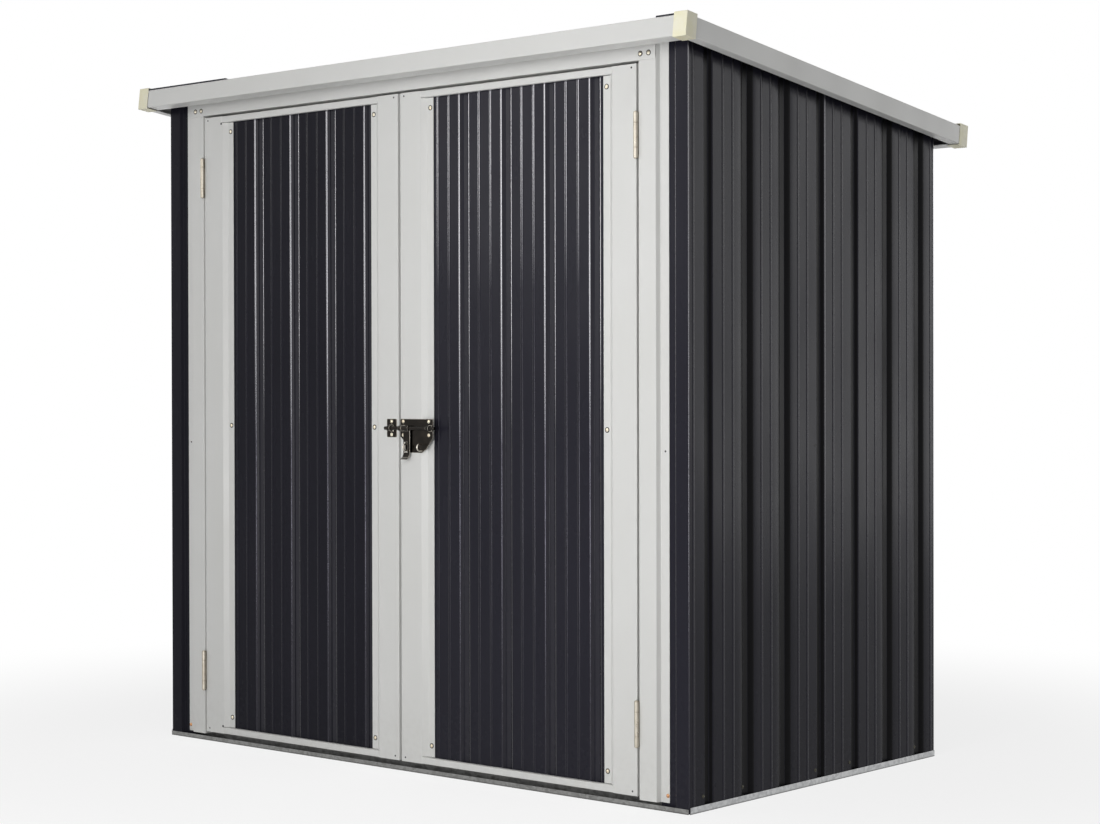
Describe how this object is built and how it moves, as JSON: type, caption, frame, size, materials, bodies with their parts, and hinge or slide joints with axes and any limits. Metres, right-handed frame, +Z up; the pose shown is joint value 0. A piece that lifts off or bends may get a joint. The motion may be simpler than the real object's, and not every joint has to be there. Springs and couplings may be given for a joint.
{
  "type": "metal tool shed",
  "caption": "Pent-roofed metal garden tool shed with profiled sheet walls, pale trims, outward-opening double doors and a sliding pad bolt.",
  "frame": {"origin": "on the ground under the middle of the roof", "axes": "+X along the front to the right as seen from the front, +Y from the doors to the back, +Z up"},
  "size_m": [1.9066, 1.2204, 1.7967],
  "materials": {
    "dark_sheet": "semi-gloss anthracite coating",
    "white_trim": "semi-gloss off-white coating",
    "cap_plastic": "moulded cream plastic",
    "galvanised": "galvanised",
    "brass": "brass plated",
    "bolt_steel": "dark nickel plate"
  },
  "bodies": {
    "shed": {"base_front_rail": "galvanised", "base_back_rail": "galvanised", "base_left_rail": "galvanised", "base_right_rail": "galvanised", "left_wall_front_sheet": "dark_sheet", "left_wall_rear_sheet": "dark_sheet", "right_wall_front_sheet": "dark_sheet", "right_wall_rear_sheet": "dark_sheet", "back_wall_left_sheet": "dark_sheet", "back_wall_middle_sheet": "dark_sheet", "back_wall_right_sheet": "dark_sheet", "rear_corner_posts": "galvanised", "wall_mid_rails": "galvanised", "wall_top_rails": "galvanised", "left_door_post": "white_trim", "right_door_post": "white_trim", "door_header": "white_trim", "roof_left_sheet": "dark_sheet", "roof_middle_sheet": "dark_sheet", "roof_right_sheet": "dark_sheet", "roof_purlin": "galvanised", "roof_front_trim": "white_trim", "roof_back_trim": "white_trim", "roof_left_trim": "white_trim", "roof_right_trim": "white_trim", "roof_corner_caps": "cap_plastic", "roof_front_hems": "dark_sheet", "left_post_hinge_leaves": "brass", "right_post_hinge_leaves": "brass"},
    "left_door": {"left_door_sheet": "dark_sheet", "left_door_hinge_stile": "white_trim", "left_door_meeting_stile": "white_trim", "left_door_rails": "white_trim", "left_door_hinge_leaves": "brass", "bolt_keeper": "bolt_steel"},
    "right_door": {"right_door_sheet": "dark_sheet", "right_door_hinge_stile": "white_trim", "right_door_meeting_stile": "white_trim", "right_door_rails": "white_trim", "right_door_hinge_leaves": "brass", "bolt_plate": "bolt_steel", "bolt_staples": "bolt_steel"},
    "bolt_rod": {"bolt_rod": "bolt_steel"},
    "bolt_hasp": {"bolt_hasp": "bolt_steel"}
  },
  "joints": [
    {"name": "left_door_hinge", "type": "hinge", "parent": "shed", "child": "left_door", "pos_m": [-0.759, -0.54433, 0.9], "axis": [0, 0, -1], "range_deg": [0, 170]},
    {"name": "right_door_hinge", "type": "hinge", "parent": "shed", "child": "right_door", "pos_m": [0.759, -0.54433, 0.9], "axis": [0, 0, 1], "range_deg": [0, 170]},
    {"name": "bolt_slide", "type": "slide", "parent": "right_door", "child": "bolt_rod", "axis": [1, 0, 0], "range_m": [0, 0.049]},
    {"name": "hasp_turn", "type": "hinge", "parent": "bolt_rod", "child": "bolt_hasp", "pos_m": [0, -0.54783, 0.8635], "axis": [-1, 0, 0], "range_deg": [0, 165]}
  ],
  "couplings": [
    {"joint": "hasp_turn", "follows": "bolt_slide", "rad_per_m": 58.7}
  ]
}
